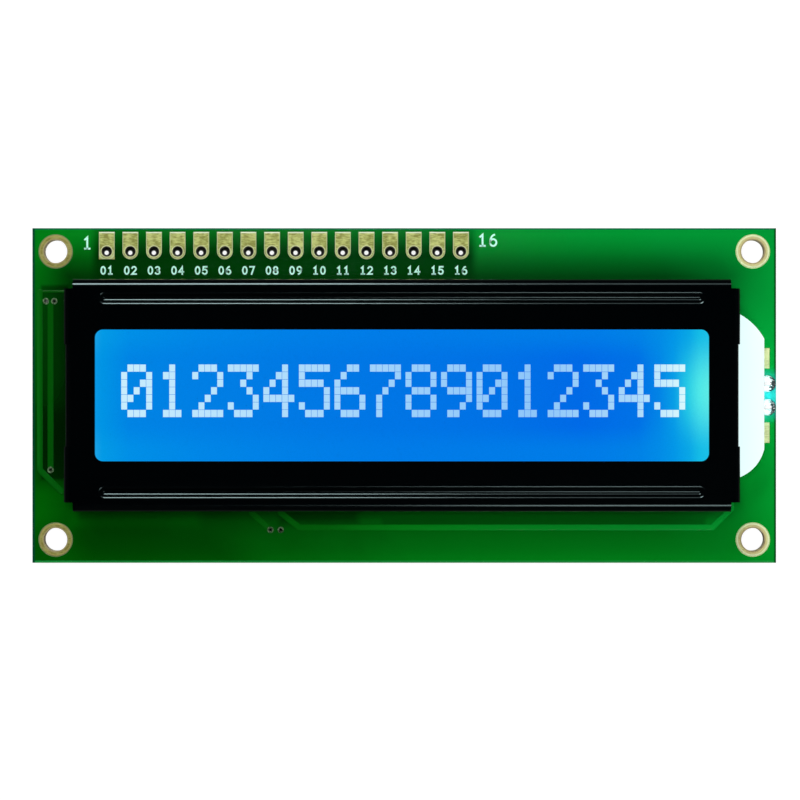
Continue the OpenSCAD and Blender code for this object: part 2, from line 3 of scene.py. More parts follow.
import bmesh
import bpy
import numpy as np
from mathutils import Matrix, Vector


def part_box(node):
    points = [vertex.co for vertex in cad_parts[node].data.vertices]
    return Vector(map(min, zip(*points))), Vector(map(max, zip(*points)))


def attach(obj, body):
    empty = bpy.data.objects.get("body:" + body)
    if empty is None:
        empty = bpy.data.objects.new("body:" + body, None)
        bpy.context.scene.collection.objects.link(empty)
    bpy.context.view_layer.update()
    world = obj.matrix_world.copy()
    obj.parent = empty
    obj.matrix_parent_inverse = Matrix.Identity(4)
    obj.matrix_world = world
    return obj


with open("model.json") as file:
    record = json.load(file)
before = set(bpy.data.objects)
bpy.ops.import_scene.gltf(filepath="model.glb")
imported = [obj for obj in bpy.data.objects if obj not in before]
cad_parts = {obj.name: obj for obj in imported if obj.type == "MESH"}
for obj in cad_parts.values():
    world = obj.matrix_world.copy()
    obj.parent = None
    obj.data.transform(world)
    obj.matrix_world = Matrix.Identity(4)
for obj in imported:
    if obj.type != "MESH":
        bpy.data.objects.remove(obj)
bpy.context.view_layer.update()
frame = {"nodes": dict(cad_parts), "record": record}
cad = frame["nodes"]


# ---------------------------------------------------------------- circuit board
# Glass-fibre board cut with a router and coated on both faces with green solder mask.
# The mask is a screen-printed lacquer, glossy and a little uneven. Its colour carries painted
# light and shade: darker at the left and lower left, next to the bezel and between the pin
# pads, and paler to the upper right. Its cut edges show the bare, pale laminate.

MM = 0.001
BOARD_LOW, BOARD_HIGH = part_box("circuit_board")
BEZEL_LOW, BEZEL_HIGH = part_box("bezel")
BEZEL_MIDDLE = (BEZEL_LOW + BEZEL_HIGH) / 2
BEZEL_HALF = (BEZEL_HIGH - BEZEL_LOW) / 2
EAR_LOW, EAR_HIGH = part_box("ear_film")
LEAD_LOW, LEAD_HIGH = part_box("lamp_leads")
LEAD_Y = (LEAD_LOW.y + LEAD_HIGH.y) / 2
MOUNTS = {m["name"]: m for m in frame["record"]["mounts"]}
PIN_ROW_X = MOUNTS["pin_row"]["pos_m"][0]
LACQUER_PATCH = 6 * MM
# how far the painted shade beside the bezel reaches
BEZEL_SHADE_REACH = 4.5 * MM
ORANGE_PEEL = 0.4 * MM
GLASS_FIBRE = 0.15 * MM


def linear(hex_colour):
    """One sRGB hex colour as linear RGBA: each channel c becomes ((c + 0.055) / 1.055)
    to the power 2.4, or c / 12.92 where it is nearly black."""
    c = np.array([int(hex_colour[i:i + 2], 16) for i in (1, 3, 5)]) / 255
    c = np.where(c > 0.04045, ((c + 0.055) / 1.055) ** 2.4, c / 12.92)
    return (*c.tolist(), 1.0)


def fill(tree, made, inputs):
    """Sets a node's inputs, each to another node's output, a hex colour or a value."""
    for key, value in inputs.items():
        if isinstance(value, bpy.types.NodeSocket):
            tree.links.new(value, made.inputs[key])
        else:
            made.inputs[key].default_value = linear(value) if isinstance(value, str) else value


def add(tree, kind, inputs=None, output=0, stops=None, **settings):
    """Adds a shader node with its settings and links. It returns one of the node's
    outputs, or the node itself where output is None."""
    made = tree.nodes.new("ShaderNode" + kind)
    for key, value in settings.items():
        setattr(made, key, value)
    if stops:
        ramp = made.color_ramp.elements
        while len(ramp) < len(stops):
            ramp.new(0.5)
        for element, (place, colour) in zip(ramp, stops):
            element.position, element.color = place, linear(colour)
    fill(tree, made, inputs or {})
    return made if output is None else made.outputs[output]


def material(name, paint):
    """A material whose Principled shader takes the inputs that paint(tree, place) gives;
    place is the Object coordinate, which is the place on the module in metres."""
    made = bpy.data.materials.new(name)
    made.use_nodes = True
    tree = made.node_tree
    place = add(tree, "TexCoord", output="Object")
    fill(tree, tree.nodes["Principled BSDF"], paint(tree, place))
    return made


def dress(finish, *names):
    """Gives CAD nodes, by name, one finish."""
    for name in names:
        for slot in cad[name].material_slots:
            slot.material = finish


def coat(tree, colour, shade, value, low, high, most=1.0, blend="MIX", ease="LINEAR"):
    """Lays a shade over a colour. Its share runs from 0 where a value is low to most
    where it is high."""
    share = add(tree, "MapRange", {"Value": value, "From Min": low, "From Max": high,
                                   "To Max": most}, interpolation_type=ease)
    return add(tree, "Mix", {"Factor": share, "A": colour, "B": shade}, output="Result",
               data_type="RGBA", blend_type=blend)


def outside(tree, place, middle, half):
    """How far a place is outside a rectangle in plan, less than 0 inside it: the larger of
    |x - middle x| - half x and |y - middle y| - half y."""
    aside = add(tree, "VectorMath", {0: place, 1: (*middle, 0)}, operation="SUBTRACT")
    aside = add(tree, "VectorMath", {0: aside}, operation="ABSOLUTE")
    aside = add(tree, "VectorMath", {0: aside, 1: (*half, 0)}, operation="SUBTRACT")
    x, y, z = add(tree, "SeparateXYZ", {"Vector": aside}, output=None).outputs
    return add(tree, "Math", {0: x, 1: y}, operation="MAXIMUM")


def on_wall(tree):
    """1 on walls and in bores, where the surface's normal leans more than 60 degrees away
    from the board's, and 0 elsewhere."""
    normal = add(tree, "NewGeometry", output="True Normal")
    upward = add(tree, "SeparateXYZ", {"Vector": normal}, output="Z")
    upward = add(tree, "Math", {0: upward}, operation="ABSOLUTE")
    return add(tree, "Math", {0: upward, 1: 0.5}, operation="LESS_THAN")


def solder_mask(tree, place):
    x, y, z = add(tree, "SeparateXYZ", {"Vector": place}, output=None).outputs
    # painted light: the lacquer gets paler from the lower left to the upper right; its own tone
    # also varies in soft patches
    across = add(tree, "MapRange", {"Value": x, "From Min": BOARD_LOW.x,
                                    "From Max": BOARD_HIGH.x})
    upward = add(tree, "Math", {0: y, 1: 0.25 / BOARD_HIGH.y}, operation="MULTIPLY")
    patches = add(tree, "TexNoise", {"Vector": place, "Scale": 1 / LACQUER_PATCH, "Detail": 3.0})
    blotch = add(tree, "MapRange", {"Value": patches, "From Min": 0.3, "From Max": 0.7,
                                    "To Min": 0.16, "To Max": 0.24})
    painted_light_and_patches = add(tree, "Math", {0: across, 1: upward}, operation="ADD")
    painted_light_and_patches = add(tree, "Math", {0: painted_light_and_patches, 1: blotch}, operation="ADD")
    painted_light_and_patches = add(tree, "Math", {0: painted_light_and_patches, 1: 0.7}, operation="MULTIPLY")
    behind = add(tree, "ValToRGB", {"Fac": painted_light_and_patches}, stops=[
        (0.0, "#014e03"), (0.14, "#015206"), (0.21, "#01630b"), (0.33, "#017915"),
        (0.46, "#017f18"), (0.6, "#01811c"), (0.75, "#018728"), (0.89, "#028a30")])
    # painted shade: the lacquer is darker against the bezel, most of all along the upper side and
    # least at the right end
    aside = add(tree, "VectorMath", {0: place, 1: tuple(BEZEL_MIDDLE)}, operation="SUBTRACT")
    aside = add(tree, "VectorMath", {0: aside}, operation="ABSOLUTE")
    aside = add(tree, "VectorMath", {0: aside, 1: tuple(BEZEL_HALF)}, operation="SUBTRACT")
    aside = add(tree, "VectorMath", {0: aside, 1: (0, 0, 0)}, operation="MAXIMUM")
    away = add(tree, "VectorMath", {0: aside}, operation="LENGTH", output="Value")
    least = add(tree, "MapRange", {"Value": y, "From Min": -14 * MM, "From Max": 14 * MM,
                                   "To Min": 0.62, "To Max": 0.22})
    right = add(tree, "MapRange", {"Value": across, "From Min": 0.85, "From Max": 0.97,
                                   "To Max": 0.35})
    least = add(tree, "Math", {0: least, 1: right}, operation="ADD")
    bezel_shade = add(tree, "MapRange", {"Value": away, "From Min": 0.0, "From Max": BEZEL_SHADE_REACH,
                                  "To Min": least, "To Max": 1.08})
    lacquer = add(tree, "Mix", {"Factor": 1.0, "A": behind, "B": bezel_shade}, output="Result",
                  data_type="RGBA", blend_type="MULTIPLY")
    # painted shade and light in soft patches: darker between the pin pads, beside the tracks at
    # the left and below the display, and lighter below the display's left end and near the lower
    # left corner. Each has its middle, its half sides, its fade, all in mm, and what it
    # multiplies the colour by
    row = add(tree, "MapRange", {"Value": y, "From Min": 12.5 * MM, "From Max": BOARD_HIGH.y})
    pads = add(tree, "ValToRGB", {"Fac": row}, stops=[
        (0.0, "#e0e0e0"), (0.45, "#888888"), (0.62, "#929292"), (0.78, "#acacac"),
        (0.93, "#c8c8c8")])
    for middle, half, fade, shade in (
            ((PIN_ROW_X / MM, 16), (19.9, 6), 1.2, pads),
            ((-37.6, 1.4), (1.2, 10.2), 0.5, "#acacac"),
            ((-37.9, -5.5), (0.6, 3), 2.5, "#c4c4c4"),
            ((-9.2, -13), (3.6, 0.2), 1.3, "#b8b8b8"),
            ((15, -13.7), (17, 0.1), 0.8, "#d4d4d4"),
            ((-29, -13), (6, 0.2), 1.6, (1.4, 1.4, 1.4, 1.0)),
            ((-37.5, -11.3), (1, 0.8), 4, (1.6, 1.6, 1.6, 1.0))):
        beyond = outside(tree, place, [v * MM for v in middle], [v * MM for v in half])
        lacquer = coat(tree, lacquer, shade, beyond, fade * MM, 0.0, blend="MULTIPLY",
                       ease="SMOOTHSTEP")
    # lines along the cut edges: a dark one along both ends, a teal one along the upper side, and
    # a pale one along the lower side, each given by its two sides
    for value, inner, outer, shade in (
            (y, BOARD_LOW.y + 0.28 * MM, BOARD_LOW.y + 0.18 * MM, "#1c8a3c"),
            (y, BOARD_HIGH.y - 0.2 * MM, BOARD_HIGH.y - 0.14 * MM, "#0a6840"),
            (x, BOARD_LOW.x + 0.32 * MM, BOARD_LOW.x + 0.2 * MM, "#06402a"),
            (x, BOARD_HIGH.x - 0.26 * MM, BOARD_HIGH.x - 0.16 * MM, "#044a16")):
        lacquer = coat(tree, lacquer, shade, value, inner, outer)
    # painted light: the lamp's cyan glow on the lacquer between and beside the lamp's joints
    from_lamp = add(tree, "VectorMath", {0: place, 1: (EAR_HIGH.x, LEAD_Y, BOARD_HIGH.z)},
                    operation="DISTANCE", output="Value")
    lacquer = coat(tree, lacquer, "#2ab8b4", from_lamp, 3.5 * MM, 0.7 * MM, ease="SMOOTHSTEP")
    # the painted shade and light and the edge lines above are on the front face only; behind the
    # board only the ramp from lower left to upper right shows, with its patches
    lacquer = coat(tree, behind, lacquer, z, 0.0, BOARD_HIGH.z)
    # the sawn glass fibre of the edges
    fibre = add(tree, "TexNoise", {"Vector": place, "Scale": 1 / GLASS_FIBRE, "Detail": 2.0})
    laminate = add(tree, "ValToRGB", {"Fac": fibre}, stops=[(0.3, "#3f5a2c"), (0.7, "#6f8a4a")])
    colour = add(tree, "Mix", {"Factor": on_wall(tree), "A": lacquer, "B": laminate},
                 output="Result", data_type="RGBA")
    peel = add(tree, "TexNoise", {"Vector": place, "Scale": 1 / ORANGE_PEEL, "Detail": 2.0})
    bump = add(tree, "Bump", {"Height": peel, "Strength": 0.03, "Distance": 0.01 * MM})
    return {"Base Color": colour, "Roughness": 0.11, "Specular IOR Level": 0.3, "Normal": bump}


dress(material("solder_mask_screen_printed", solder_mask), "circuit_board")


# ---------------------------------------------------------------- tracks and vias
# Etched copper under the same mask. The lacquer lies thinner over the metal, so the
# tracks stand up a little and look paler, and each via's rim shows through.

TRACK_EDGE = 0.2 * MM
VIA_EDGE = 0.1 * MM
VIA_PATCH = 0.1 * MM


def masked_copper(tree, place):
    x, y, z = add(tree, "SeparateXYZ", {"Vector": place}, output=None).outputs
    across = add(tree, "MapRange", {"Value": x, "From Min": BOARD_LOW.x,
                                    "From Max": BOARD_HIGH.x})
    # painted light: the tracks get darker towards the left and paler to the right, as the lacquer
    # does
    lacquer = add(tree, "ValToRGB", {"Fac": across}, stops=[
        (0.0, "#096a14"), (0.009, "#096612"), (0.013, "#055208"), (0.3, "#04660c"),
        (0.4, "#057010"), (0.5, "#06901c"), (1.0, "#08a236")])
    # the slanting track at the left takes one colour in place of the ramp's
    lower = add(tree, "MapRange", {"Value": y, "From Min": -7.2 * MM, "From Max": -8 * MM})
    left = add(tree, "MapRange", {"Value": across, "From Min": 0.06, "From Max": 0.05})
    slant = add(tree, "Math", {0: lower, 1: left}, operation="MULTIPLY")
    lacquer = add(tree, "Mix", {"Factor": slant, "A": lacquer, "B": "#065a0e"},
                  output="Result", data_type="RGBA")
    # the lacquer rounds the tracks' edges
    edges = add(tree, "Bevel", {"Radius": TRACK_EDGE})
    return {"Base Color": lacquer, "Roughness": 0.12, "Specular IOR Level": 0.35,
            "Normal": edges}


def via_rim(tree, place):
    # the lacquer draws back from the rims in small patches
    drawn = add(tree, "TexNoise", {"Vector": place, "Scale": 1 / VIA_PATCH, "Detail": 1.0})
    colour = add(tree, "ValToRGB", {"Fac": drawn}, stops=[(0.4, "#1c3a1a"), (0.6, "#789870")])
    edges = add(tree, "Bevel", {"Radius": VIA_EDGE})
    return {"Base Color": colour, "Metallic": 0.3, "Roughness": 0.35, "Normal": edges}


dress(material("solder_mask_over_copper", masked_copper), "front_tracks")
dress(material("tinned_rim_thinly_masked", via_rim), "via_plating")


# ---------------------------------------------------------------- gold-plated copper
# Pads, lands and contact fingers: copper with immersion gold over nickel. The gold is
# satin, with the grain of the brushed copper below it; its pale rims are painted highlights.

PIN_COUNT = MOUNTS["pin_row"]["dims"]["count"]
PIN_PITCH = MOUNTS["pin_row"]["dims"]["spacing_x_mm"] * MM
PIN_X = PIN_ROW_X - (PIN_COUNT - 1) / 2 * PIN_PITCH
PIN_Y = MOUNTS["pin_row"]["pos_m"][1]
PAD_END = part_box("pin_hole_plating")[1].y
PAD_HALF = 0.86 * MM
HOLE_X = MOUNTS["mounting_holes"]["dims"]["spacing_x_mm"] * MM / 2
HOLE_Y = MOUNTS["mounting_holes"]["dims"]["spacing_y_mm"] * MM / 2
LAND_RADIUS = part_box("mounting_hole_plating")[1].x - HOLE_X
GRAIN_LENGTH, GRAIN_WIDTH, GRAIN_TURN = 0.5 * MM, 0.12 * MM, 0.9
STAIN = 0.7 * MM


def pin_offset(tree, place, first, pitch):
    """Where a place is from the nearest of the pins in plan, as a vector output. Along the
    row it is x - first - pitch n, with n = (x - first) / pitch rounded and kept within the
    row, and across it y - PIN_Y."""
    x, y, z = add(tree, "SeparateXYZ", {"Vector": place}, output=None).outputs
    nearest = add(tree, "Math", {0: x, 1: 1 / pitch, 2: -first / pitch},
                  operation="MULTIPLY_ADD")
    nearest = add(tree, "Math", {0: nearest}, operation="ROUND")
    nearest = add(tree, "Clamp", {"Value": nearest, "Min": 0.0, "Max": PIN_COUNT - 1.0})
    along = add(tree, "Math", {0: nearest, 1: -pitch, 2: x}, operation="MULTIPLY_ADD")
    along = add(tree, "Math", {0: along, 1: first}, operation="SUBTRACT")
    beside = add(tree, "Math", {0: y, 1: PIN_Y}, operation="SUBTRACT")
    return add(tree, "CombineXYZ", {"X": along, "Y": beside})


def hole_distance(tree, place):
    """How far a place is, in plan, from the nearest mounting hole's axis."""
    aside = add(tree, "VectorMath", {0: place}, operation="ABSOLUTE")
    aside = add(tree, "VectorMath", {0: aside, 1: (HOLE_X, HOLE_Y, 0)}, operation="SUBTRACT")
    aside = add(tree, "VectorMath", {0: aside, 1: (1, 1, 0)}, operation="MULTIPLY")
    return add(tree, "VectorMath", {0: aside}, operation="LENGTH", output="Value")


def from_line(tree, value, at):
    """How far a value is from a given one: |value - at|."""
    past = add(tree, "Math", {0: value, 1: at}, operation="SUBTRACT")
    return add(tree, "Math", {0: past}, operation="ABSOLUTE")


def immersion_gold(tree, place):
    x, y, z = add(tree, "SeparateXYZ", {"Vector": place}, output=None).outputs
    # brushing grain, turned across the pads, and stains
    turned = add(tree, "Mapping", {
        "Vector": place, "Rotation": (0, 0, GRAIN_TURN),
        "Scale": (1 / GRAIN_LENGTH, 1 / GRAIN_WIDTH, 1 / GRAIN_LENGTH)})
    grain = add(tree, "TexNoise", {"Vector": turned, "Scale": 1.0, "Detail": 3.0})
    stain = add(tree, "TexNoise", {"Vector": place, "Scale": 1 / STAIN, "Detail": 2.0})
    both = add(tree, "Math", {0: grain, 1: stain}, operation="ADD")
    both = add(tree, "Math", {0: both, 1: 0.5}, operation="MULTIPLY")
    colour = add(tree, "ValToRGB", {"Fac": both}, stops=[
        (0.42, "#94984c"), (0.5, "#b7be6d"), (0.58, "#d0d888")])
    # the lamp's light makes it paler near the right edge
    colour = coat(tree, colour, "#f4eebc", x, 30 * MM, 38 * MM, most=0.5)
    # painted highlights make the pin pads pale along their edges and round their holes, and
    # painted shade makes them dark inside the holes' lips
    offset = pin_offset(tree, place, PIN_X, PIN_PITCH)
    from_pin = add(tree, "VectorMath", {0: offset}, operation="LENGTH", output="Value")
    lower = add(tree, "VectorMath", {0: offset, 1: (PIN_PITCH, 0, 0)}, operation="MINIMUM")
    from_axis = add(tree, "VectorMath", {0: lower}, operation="LENGTH", output="Value")
    side = from_line(tree, from_axis, PAD_HALF)
    colour = coat(tree, colour, "#d0dea8", side, 0.12 * MM, 0.06 * MM)
    colour = coat(tree, colour, "#d2d8a4", from_pin, 0.7 * MM, 0.64 * MM)
    colour = coat(tree, colour, "#14100a", from_pin, 0.57 * MM, 0.54 * MM)
    # the lands are brown, with a painted highlight round their rim, and painted light makes them
    # paler at the right than at the left
    from_hole = hole_distance(tree, place)
    rim = from_line(tree, from_hole, LAND_RADIUS)
    land, rim_highlight, lip = (coat(tree, at_left, at_right, x, -20 * MM, 20 * MM)
                       for at_left, at_right in (("#7c6420", "#dccf8c"), ("#b0a860", "#f4ffcc"),
                                                 ("#b4a878", "#b8a878")))
    colour = coat(tree, colour, land, from_hole, 2.2 * MM, 2 * MM, most=0.5)
    # painted highlight along the upper ends of the pin pads
    colour = coat(tree, colour, "#f0f8d8", y, PAD_END - 0.18 * MM, PAD_END - 0.1 * MM)
    colour = coat(tree, colour, rim_highlight, rim, 0.2 * MM, 0.08 * MM)
    colour = coat(tree, colour, lip, from_hole, 1.42 * MM, 1.34 * MM)
    # painted shade makes the pin holes' barrels nearly black; the mounting holes' barrels are
    # pale
    barrel = coat(tree, "#14100a", "#f0e8c8", from_hole, 2.2 * MM, 2 * MM)
    colour = add(tree, "Mix", {"Factor": on_wall(tree), "A": colour, "B": barrel},
                 output="Result", data_type="RGBA")
    edges = add(tree, "Bevel", {"Radius": 0.12 * MM})
    bump = add(tree, "Bump", {"Height": grain, "Strength": 0.3, "Distance": 0.02 * MM,
                              "Normal": edges})
    return {"Base Color": colour, "Metallic": 0.4, "Roughness": 0.42,
            "Specular IOR Level": 0.3, "Normal": bump}


dress(material("immersion_gold_on_copper", immersion_gold),
      "mounting_hole_plating", "pin_hole_plating", "contact_fingers", "spare_lamp_pads")


# ---------------------------------------------------------------- printing
# Pin numbers screen printed in white ink, from strokes with square ends. The ink is
# matt and stands 0.015 mm above the mask.

INK = 0.015 * MM
SCREEN_MESH = 0.15 * MM
LABEL_Y, LABEL_HEIGHT, LABEL_LINE = 13.46 * MM, 0.95 * MM, 0.17 * MM
END_HEIGHT, END_LINE = 1.4 * MM, 0.2 * MM
FIRST_END, LAST_END = (-34.1 * MM, 16.4 * MM), (9.0 * MM, 16.7 * MM)


def arc(cx, cy, rx, ry, start, end, n=14):
    """Points of an ellipse round (cx, cy), from one angle to another in degrees:
    x = cx + rx cos a, y = cy + ry sin a."""
    a = np.radians(np.linspace(start, end, n))
    return np.column_stack([cx + rx * np.cos(a), cy + ry * np.sin(a)])


# strokes of each digit, on a cell 0.6 wide and 1 high with its centre at 0, 0
DIGITS = {
    "0": [arc(0, 0, 0.28, 0.5, 0, 360, 28)],
    "1": [[(-0.2, 0.32), (0, 0.5), (0, -0.5)], [(-0.2, -0.5), (0.2, -0.5)]],
    "2": [np.vstack([arc(0, 0.22, 0.28, 0.28, 160, -35), [(-0.28, -0.5), (0.28, -0.5)]])],
    "3": [arc(-0.02, 0.25, 0.27, 0.25, 150, -90), arc(-0.02, -0.24, 0.3, 0.26, 90, -150)],
    "4": [[(0.14, -0.5), (0.14, 0.5), (-0.3, -0.2), (0.3, -0.2)]],
    "5": [np.vstack([[(0.25, 0.5), (-0.2, 0.5), (-0.24, 0.06)],
                     arc(-0.02, -0.18, 0.3, 0.32, 120, -150)])],
    "6": [arc(0, -0.2, 0.28, 0.3, 0, 360, 24), arc(0.16, -0.2, 0.44, 0.7, 180, 100)],
    "7": [[(-0.28, 0.5), (0.28, 0.5), (-0.06, -0.5)]],
    "8": [arc(0, 0.25, 0.24, 0.25, 0, 360, 22), arc(0, -0.24, 0.29, 0.26, 0, 360, 24)],
    "9": [arc(0, 0.2, 0.28, 0.3, 0, 360, 24), arc(-0.16, 0.2, 0.44, 0.7, 0, -80)],
}


def ribbon(path, width, low, high):
    """A flat bar along a path: at each point the path is offset by half the width to both
    sides along the mitre, and half a width beyond each end makes the end square. The four
    corners at the two heights give closed rings, and the end rings are capped."""
    p = np.asarray(path, float)
    closed = np.allclose(p[0], p[-1])
    run = np.diff(p, axis=0)
    run /= np.linalg.norm(run, axis=1)[:, None]
    if not closed:
        p[0] -= run[0] * width / 2
        p[-1] += run[-1] * width / 2
    before = np.vstack([run[-1:] if closed else run[:1], run])
    after = np.vstack([run, run[:1] if closed else run[-1:]])
    side = np.column_stack([-(before + after)[:, 1], (before + after)[:, 0]])
    side /= np.linalg.norm(side, axis=1)[:, None]
    stretch = 1 / np.maximum((side * np.column_stack([-after[:, 1], after[:, 0]])).sum(1), 0.4)
    half = side * (stretch * width / 2)[:, None]
    n = len(p)
    ring = np.stack([np.column_stack([p - half, np.full(n, low)]),
                     np.column_stack([p + half, np.full(n, low)]),
                     np.column_stack([p + half, np.full(n, high)]),
                     np.column_stack([p - half, np.full(n, high)])], 1)
    i, j = np.meshgrid(np.arange(n - 1), np.arange(4), indexing="ij")
    faces = np.stack([4 * i + j, 4 * i + (j + 1) % 4,
                      4 * (i + 1) + (j + 1) % 4, 4 * (i + 1) + j], -1).reshape(-1, 4)
    if not closed:
        last = 4 * (n - 1)
        faces = np.vstack([faces, [[3, 2, 1, 0], [last, last + 1, last + 2, last + 3]]])
    return ring.reshape(-1, 3), faces


def build(name, parts, finish):
    """Joins (points, faces) parts into one closed mesh, merges doubled points, turns the
    faces outwards and lets the piece ride on the module."""
    starts = np.cumsum([0] + [len(points) for points, faces in parts[:-1]])
    all_points = np.vstack([points for points, faces in parts])
    all_faces = np.vstack([faces + start for (points, faces), start in zip(parts, starts)])
    mesh = bpy.data.meshes.new(name)
    mesh.from_pydata(all_points.tolist(), [], all_faces.tolist())
    bm = bmesh.new()
    bm.from_mesh(mesh)
    bmesh.ops.remove_doubles(bm, verts=bm.verts, dist=1e-7)
    bmesh.ops.recalc_face_normals(bm, faces=bm.faces)
    bm.to_mesh(mesh)
    bm.free()
    mesh.materials.append(finish)
    piece = bpy.data.objects.new(name, mesh)
    bpy.context.scene.collection.objects.link(piece)
    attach(piece, "root")


def number(text, x, y, height, line):
    """The digits of a number, side by side and centred on (x, y)."""
    step = 0.82 * height
    parts = []
    for k, digit in enumerate(text):
        shift = np.array([x + (k - (len(text) - 1) / 2) * step, y])
        for stroke in DIGITS[digit]:
            path = np.asarray(stroke, float) * (height - line) + shift
            parts.append(ribbon(path, line, BOARD_HIGH.z, BOARD_HIGH.z + INK))
    return parts


def white_ink(tree, place):
    # pinholes of the screen's mesh
    screen = add(tree, "TexNoise", {"Vector": place, "Scale": 1 / SCREEN_MESH, "Detail": 1.0})
    colour = add(tree, "ValToRGB", {"Fac": screen}, stops=[(0.3, "#b0f6da"), (0.6, "#ccfff0")])
    return {"Base Color": colour, "Roughness": 0.7, "IOR": 1.45}


labels = [number(f"{i + 1:02d}", PIN_X + i * PIN_PITCH, LABEL_Y, LABEL_HEIGHT, LABEL_LINE)
          for i in range(PIN_COUNT)]
ends = (number("1", *FIRST_END, END_HEIGHT, END_LINE)
        + number(str(PIN_COUNT), *LAST_END, END_HEIGHT, END_LINE))
build("printed_pin_numbers", sum(labels, []) + ends,
      material("white_ink_screen_printed", white_ink))


# ---------------------------------------------------------------- mask clearances
# The solder mask stops a tenth of a millimetre short of the four lands, so that a thin
# ring of the bare, pale glass-fibre laminate shows round each of them.

CLEARANCE = 0.1 * MM
RESIN_FILM = 0.0045 * MM
WEAVE = 0.1 * MM


def bare_laminate(tree, place):
    # the glass cloth's weave shows as a fine speckle; painted shade darkens it towards the left
    weave = add(tree, "TexNoise", {"Vector": place, "Scale": 1 / WEAVE, "Detail": 1.0})
    colour = add(tree, "ValToRGB", {"Fac": weave}, stops=[(0.3, "#a4bc7c"), (0.7, "#d4e4a8")])
    across = add(tree, "SeparateXYZ", {"Vector": place}, output="X")
    colour = coat(tree, colour, "#3c4a1c", across, 20 * MM, -20 * MM, most=0.75)
    return {"Base Color": colour, "Roughness": 0.6, "IOR": 1.5}


ring_radius = LAND_RADIUS + CLEARANCE / 2
rings = [ribbon(arc(x * HOLE_X, y * HOLE_Y, ring_radius, ring_radius, 0, 360, 73),
                CLEARANCE, BOARD_HIGH.z, BOARD_HIGH.z + RESIN_FILM)
         for x in (-1, 1) for y in (-1, 1)]
build("mask_clearances", rings, material("glass_fibre_laminate_bare", bare_laminate))


# ---------------------------------------------------------------- tin
# The lamp's tinned steel leads, their solder joints, and the ends of the chip
# components. Tin flows when hot and sets with a bright, slightly crazed skin.

CRYSTAL = 0.3 * MM
STREAK_LENGTH, STREAK_WIDTH = 0.6 * MM, 0.12 * MM


def bright_tin(tree, place):
    # crystals, seen as faint patches and wrinkles
    crystals = add(tree, "TexNoise", {"Vector": place, "Scale": 1 / CRYSTAL, "Detail": 3.0})
    colour = add(tree, "ValToRGB", {"Fac": crystals}, stops=[(0.3, "#f2f8f8"), (0.6, "#ffffff")])
    # a painted dark reflection lies in streaks over the lamp joints' outer ends
    drawn = add(tree, "Mapping", {"Vector": place, "Scale": (
        1 / STREAK_LENGTH, 1 / STREAK_WIDTH, 1 / STREAK_LENGTH)})
    streaks = add(tree, "TexNoise", {"Vector": drawn, "Scale": 1.0, "Detail": 2.0})
    across = add(tree, "SeparateXYZ", {"Vector": place}, output="X")
    outer = add(tree, "MapRange", {"Value": across, "From Min": 38.6 * MM,
                                   "From Max": 39.5 * MM, "To Min": -0.4, "To Max": 0.14})
    dark_reflection = add(tree, "Math", {0: streaks, 1: outer}, operation="ADD")
    dark_reflection = add(tree, "Math", {0: dark_reflection, 1: 0.52}, operation="GREATER_THAN")
    colour = add(tree, "Mix", {"Factor": dark_reflection, "A": colour, "B": "#3c4646"}, output="Result",
                 data_type="RGBA")
    bump = add(tree, "Bump", {"Height": crystals, "Strength": 0.3, "Distance": 0.03 * MM})
    return {"Base Color": colour, "Metallic": 0.08, "Roughness": 0.35, "Normal": bump}


dress(material("bright_tin_flowed", bright_tin),
      "lamp_leads", "lead_solder", "lead_hole_plating", "component_ends", "component_solder")


# ---------------------------------------------------------------- backlight
# A moulded acrylic light guide on a white film, under a matt film, lit by a lamp in the
# end of its ear. The lamp's bluish white light fills the ear and the end nearest to it.

FILM_CLOUD = 3 * MM
POLYESTER_FIBRE = 0.2 * MM
PHOSPHOR_GRAIN = 0.1 * MM


def lit_film(tree, place):
    across = add(tree, "SeparateXYZ", {"Vector": place}, output="X")
    near = add(tree, "MapRange", {"Value": across, "From Min": EAR_LOW.x,
                                  "From Max": EAR_HIGH.x})
    # the film is faintly cloudy
    cloud = add(tree, "TexNoise", {"Vector": place, "Scale": 1 / FILM_CLOUD, "Detail": 2.0})
    mixed = add(tree, "Math", {0: cloud, 1: 0.2, 2: near}, operation="MULTIPLY_ADD")
    glow = add(tree, "ValToRGB", {"Fac": mixed}, stops=[
        (0.2, "#e0fcfb"), (0.7, "#e8fefe"), (1.0, "#eefefd")])
    return {"Base Color": "#303838", "Roughness": 0.5, "IOR": 1.49,
            "Emission Color": glow, "Emission Strength": 1.0}


def clear_acrylic(tree, place):
    across = add(tree, "SeparateXYZ", {"Vector": place}, output="X")
    near = add(tree, "MapRange", {"Value": across, "From Min": -35 * MM,
                                  "From Max": EAR_HIGH.x})
    glow = add(tree, "ValToRGB", {"Fac": near}, stops=[
        (0.0, "#203038"), (0.85, "#6fb4bc"), (1.0, "#d8ffff")])
    return {"Base Color": "#dcf6f8", "Roughness": 0.08, "IOR": 1.49,
            "Transmission Weight": 0.5, "Emission Color": glow, "Emission Strength": 0.55}


def white_polyester(tree, place):
    fibres = add(tree, "TexNoise", {"Vector": place, "Scale": 1 / POLYESTER_FIBRE, "Detail": 2.0})
    colour = add(tree, "ValToRGB", {"Fac": fibres}, stops=[(0.3, "#e2e8e8"), (0.7, "#f0f4f4")])
    return {"Base Color": colour, "Roughness": 0.6, "IOR": 1.5}


def phosphor(tree, place):
    grains = add(tree, "TexNoise", {"Vector": place, "Scale": 1 / PHOSPHOR_GRAIN, "Detail": 2.0})
    colour = add(tree, "ValToRGB", {"Fac": grains}, stops=[(0.3, "#e8c93a"), (0.7, "#fff0a0")])
    return {"Base Color": colour, "Roughness": 0.4, "Emission Color": colour,
            "Emission Strength": 0.8}


